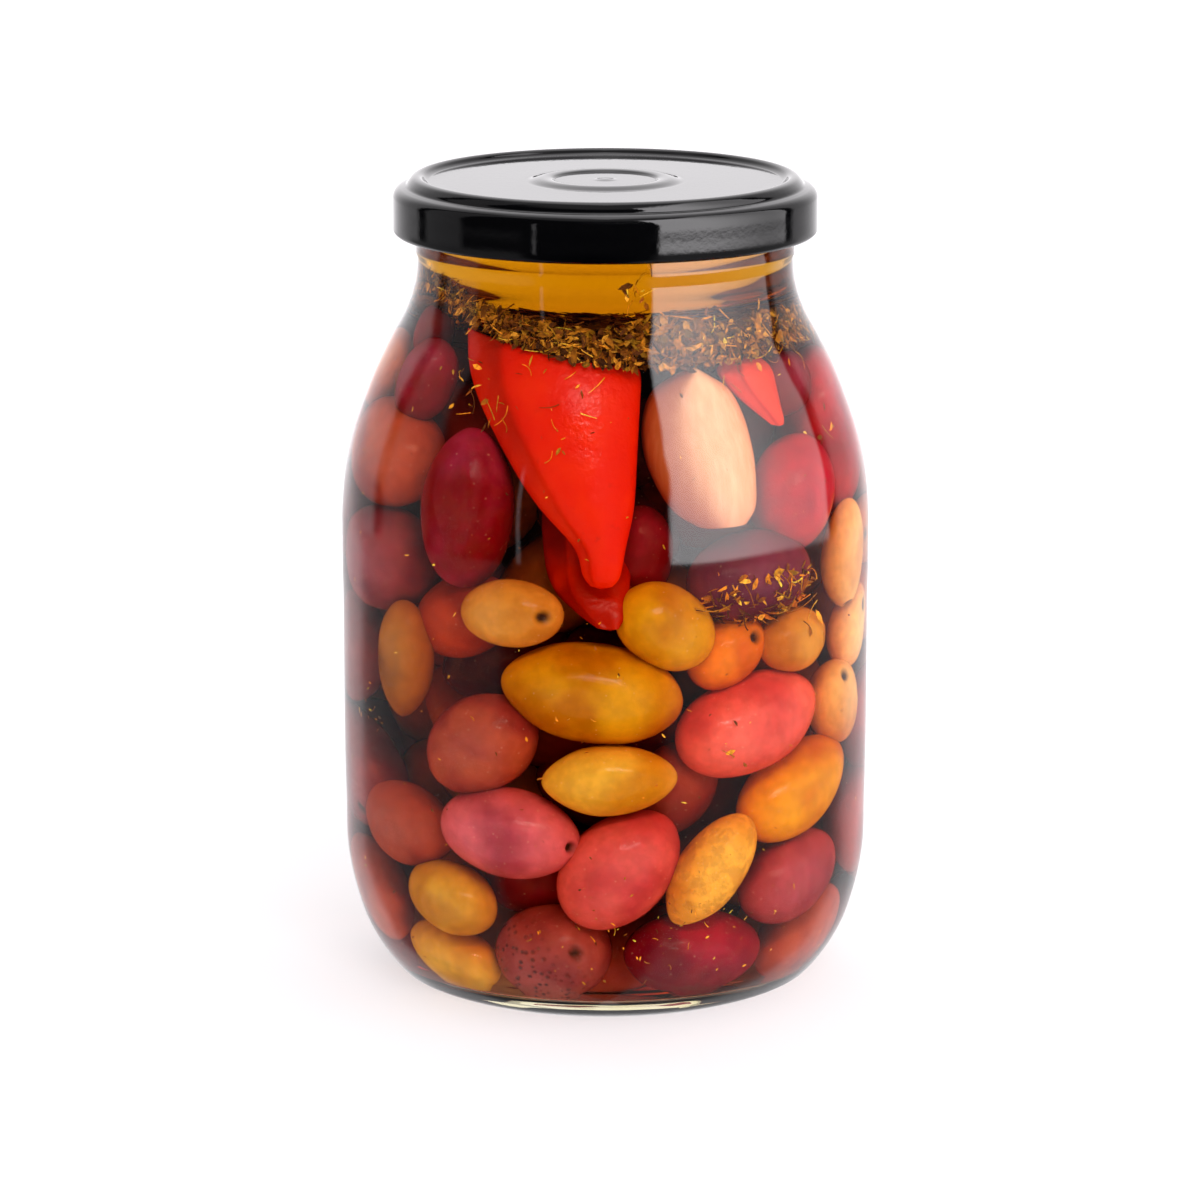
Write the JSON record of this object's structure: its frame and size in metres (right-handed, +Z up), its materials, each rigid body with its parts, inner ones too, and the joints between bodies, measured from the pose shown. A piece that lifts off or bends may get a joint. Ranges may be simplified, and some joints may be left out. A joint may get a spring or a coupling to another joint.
{
  "type": "jar of olives",
  "caption": "Shut one-litre clear glass jar with a black twist-off lid, packed with mixed olives, red peppers, a garlic clove and a floating mat of herbs.",
  "frame": {"origin": "centre of the ring the jar stands on, at the surface it stands on", "axes": "+Z up along the jar's axis, and the side with the large red pepper faces -Y"},
  "size_m": [0.1064, 0.1064, 0.1634],
  "materials": {
    "glass": "clear, smooth, faintly green at the heel",
    "lid": "high-gloss black lacquer on steel",
    "olives": "wet smooth skins, dark red, pink-purple, amber and tan",
    "pepper": "wet red skin",
    "garlic": "wet and slightly translucent, pale cream",
    "herbs": "rough dried leaf flakes, olive brown"
  },
  "bodies": {
    "root": {"jar": "glass", "lid": "lid", "olives": "olives", "pepper_front": "pepper", "pepper_lower": "pepper", "pepper_side": "pepper", "garlic_clove": "garlic", "herb_layer": "herbs"}
  },
  "joints": []
}
